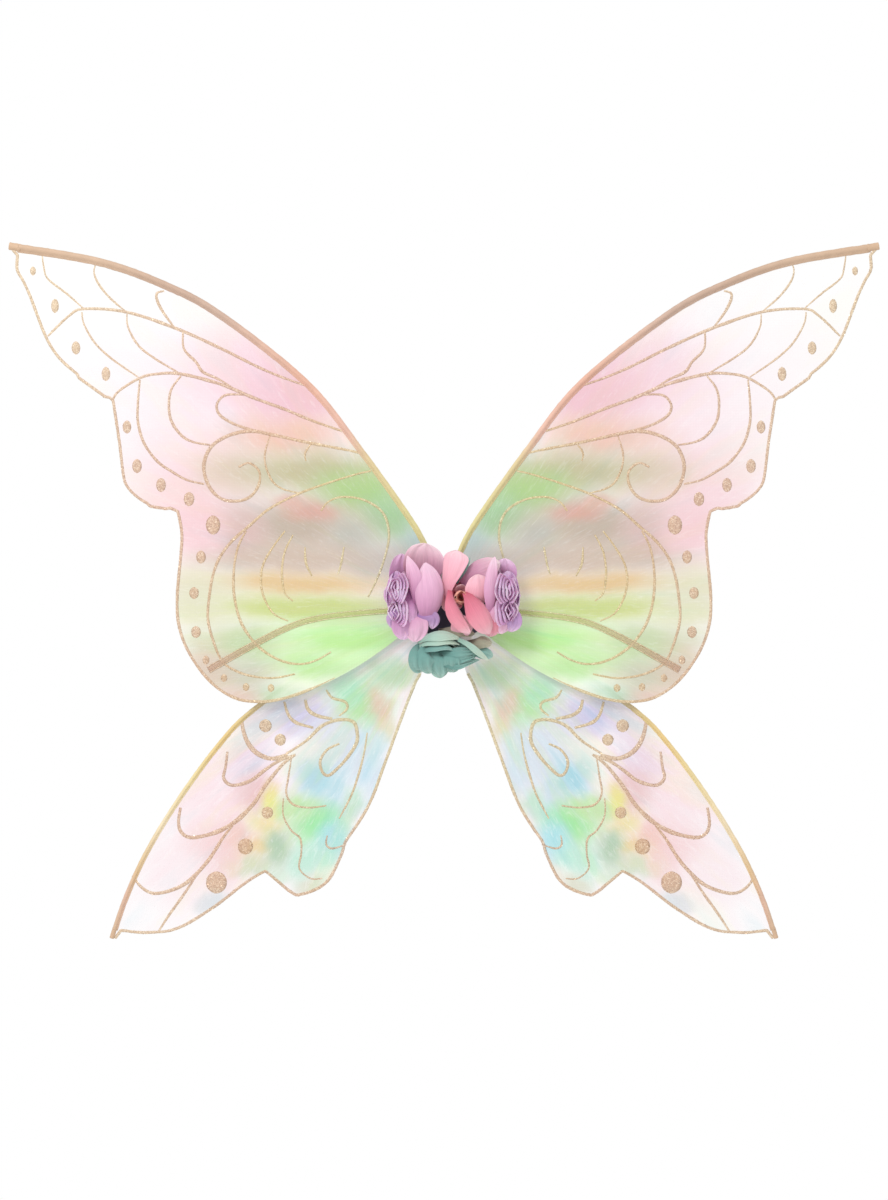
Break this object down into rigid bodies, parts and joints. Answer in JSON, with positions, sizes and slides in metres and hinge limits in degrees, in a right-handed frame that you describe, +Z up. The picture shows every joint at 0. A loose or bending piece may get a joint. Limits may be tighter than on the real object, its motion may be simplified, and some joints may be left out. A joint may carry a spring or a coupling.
{
  "type": "costume fairy wings",
  "caption": "Costume fairy wings: four sheer iridescent organza wings on wire frames with gold glitter veins, hinged behind a cluster of fabric roses, with elastic shoulder loops.",
  "frame": {"origin": "centre of the back pad's wearer-side face", "axes": "+Z up as worn, +X to the right as seen from behind the wearer, +Y towards the wearer; the roses face -Y"},
  "size_m": [0.8714, 0.201, 0.6978],
  "materials": {
    "pad_felt": "soft brushed felt",
    "moulded_plastic": "moulded, satin",
    "dark_felt": "pressed felt",
    "zinc_steel": "bright zinc plated",
    "elastic_band": "woven elastic",
    "peach_ribbon": "bound satin ribbon with gold glitter",
    "sheer_ribbon": "sheer ribbon",
    "gold_ribbon": "bound ribbon with gold glitter",
    "tan_tape": "cotton tape",
    "spring_wire": "drawn, bright",
    "upper_organza": "iridescent sheer organza with glitter lines",
    "lower_organza": "iridescent sheer organza with glitter lines",
    "lilac_petal": "stiffened petal cloth",
    "pink_petal": "stiffened petal cloth",
    "mint_petal": "stiffened petal cloth",
    "calyx_green": "moulded"
  },
  "bodies": {
    "hub": {"back_pad": "pad_felt", "hub_plate": "moulded_plastic", "hub_block": "moulded_plastic", "felt_backing": "dark_felt", "top_screw": "zinc_steel", "bottom_screw": "zinc_steel", "left_upper_channel": "moulded_plastic", "left_lower_channel": "moulded_plastic", "left_strap": "elastic_band", "right_upper_channel": "moulded_plastic", "right_lower_channel": "moulded_plastic", "right_strap": "elastic_band", "lilac_left_calyx": "calyx_green", "lilac_left_outer_petals": "lilac_petal", "lilac_left_middle_petals": "lilac_petal", "lilac_left_inner_petals": "lilac_petal", "pink_calyx": "calyx_green", "pink_outer_petals": "pink_petal", "pink_middle_petals": "pink_petal", "pink_inner_petals": "pink_petal", "lilac_right_calyx": "calyx_green", "lilac_right_outer_petals": "lilac_petal", "lilac_right_middle_petals": "lilac_petal", "lilac_right_inner_petals": "lilac_petal", "mint_calyx": "calyx_green", "mint_outer_petals": "mint_petal", "mint_middle_petals": "mint_petal", "mint_inner_petals": "mint_petal"},
    "left_upper_wing": {"left_upper_spar_sleeve": "peach_ribbon", "left_upper_tip_cap": "tan_tape", "left_rib_sleeve": "sheer_ribbon", "left_upper_wire": "spring_wire", "left_upper_membrane": "upper_organza"},
    "left_lower_wing": {"left_lower_spar_sleeve": "gold_ribbon", "left_lower_tip_cap": "tan_tape", "left_lower_wire": "spring_wire", "left_lower_membrane": "lower_organza"},
    "right_upper_wing": {"right_upper_spar_sleeve": "peach_ribbon", "right_upper_tip_cap": "tan_tape", "right_rib_sleeve": "sheer_ribbon", "right_upper_wire": "spring_wire", "right_upper_membrane": "upper_organza"},
    "right_lower_wing": {"right_lower_spar_sleeve": "gold_ribbon", "right_lower_tip_cap": "tan_tape", "right_lower_wire": "spring_wire", "right_lower_membrane": "lower_organza"}
  },
  "joints": [
    {"name": "left_wing_fold", "type": "hinge", "parent": "hub", "child": "left_upper_wing", "pos_m": [-0.014, -0.026, 0], "axis": [0, 0, -1], "range_deg": [-12, 28]},
    {"name": "left_lower_spread", "type": "hinge", "parent": "left_upper_wing", "child": "left_lower_wing", "pos_m": [-0.014, -0.026, 0], "axis": [0, 0, -1], "range_deg": [0, 8]},
    {"name": "right_wing_fold", "type": "hinge", "parent": "hub", "child": "right_upper_wing", "pos_m": [0.014, -0.026, 0], "axis": [0, 0, 1], "range_deg": [-12, 28]},
    {"name": "right_lower_spread", "type": "hinge", "parent": "right_upper_wing", "child": "right_lower_wing", "pos_m": [0.014, -0.026, 0], "axis": [0, 0, 1], "range_deg": [0, 8]}
  ]
}
